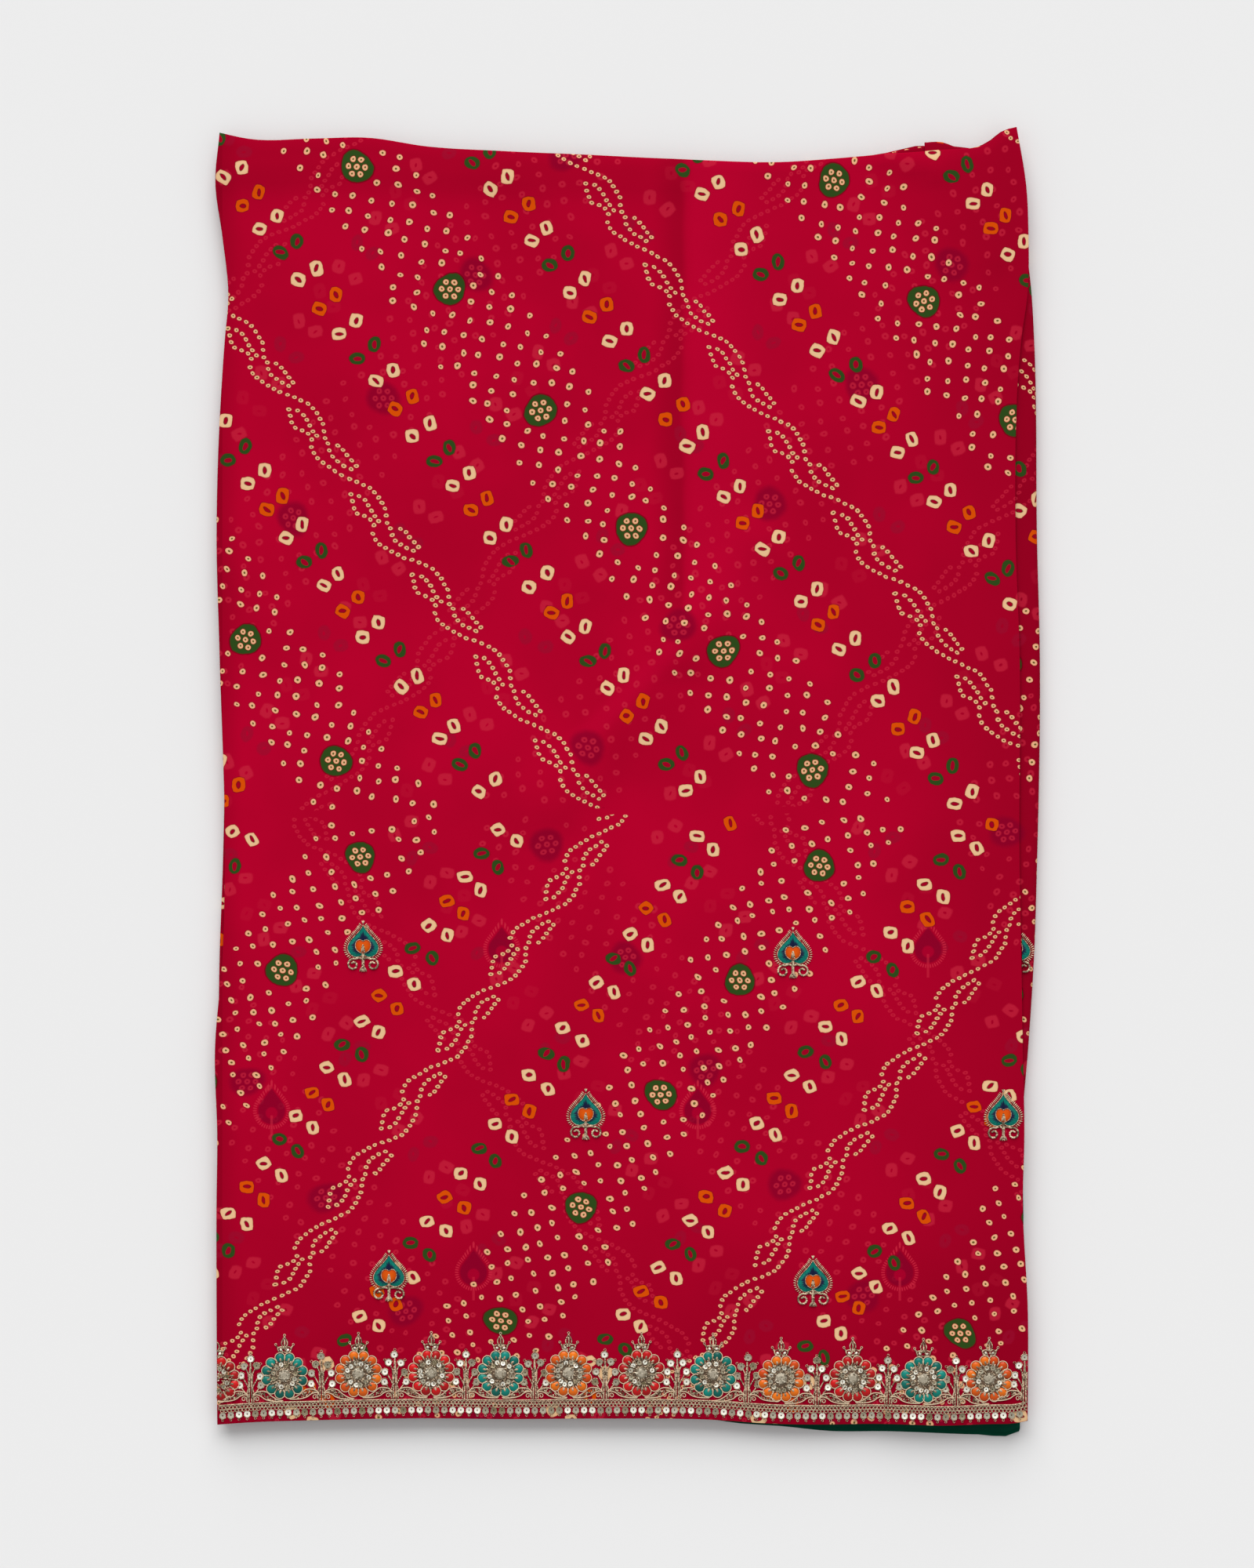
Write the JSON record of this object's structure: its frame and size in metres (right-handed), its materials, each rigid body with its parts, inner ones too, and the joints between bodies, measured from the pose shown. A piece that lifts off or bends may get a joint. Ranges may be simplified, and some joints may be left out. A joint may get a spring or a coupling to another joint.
{
  "type": "folded bandhani saree",
  "caption": "Sheer crimson tie-dyed saree with an embroidered hem, folded flat on its plain green blouse cloth.",
  "frame": {"origin": "middle of the folded cloth's rectangle, on the surface that it rests on", "axes": "+X across the folds to the right of the face, +Y up the face to the top selvedge, +Z out of the face"},
  "size_m": [0.7042, 1.1153, 0.0199],
  "materials": {
    "dyed_georgette": "matt sheer georgette",
    "plain_green_cloth": "matt plain weave",
    "silver_thread": "metallic thread",
    "petals_teal": "glossy petals",
    "petals_orange": "glossy petals",
    "petals_red": "glossy petals",
    "satin_stitch": "silky stitches"
  },
  "bodies": {
    "root": {"saree_cloth": "dyed_georgette", "blouse_cloth": "plain_green_cloth", "hem_braid": "silver_thread", "rosette_01": "petals_teal", "rosette_02": "petals_orange", "rosette_03": "petals_red", "rosette_04": "petals_teal", "rosette_05": "petals_orange", "rosette_06": "petals_red", "rosette_07": "petals_teal", "rosette_08": "petals_orange", "rosette_09": "petals_red", "rosette_10": "petals_teal", "rosette_11": "petals_orange", "feather_01": "satin_stitch", "feather_02": "satin_stitch", "feather_03": "satin_stitch", "feather_04": "satin_stitch", "feather_05": "satin_stitch", "feather_06": "satin_stitch"}
  },
  "joints": []
}
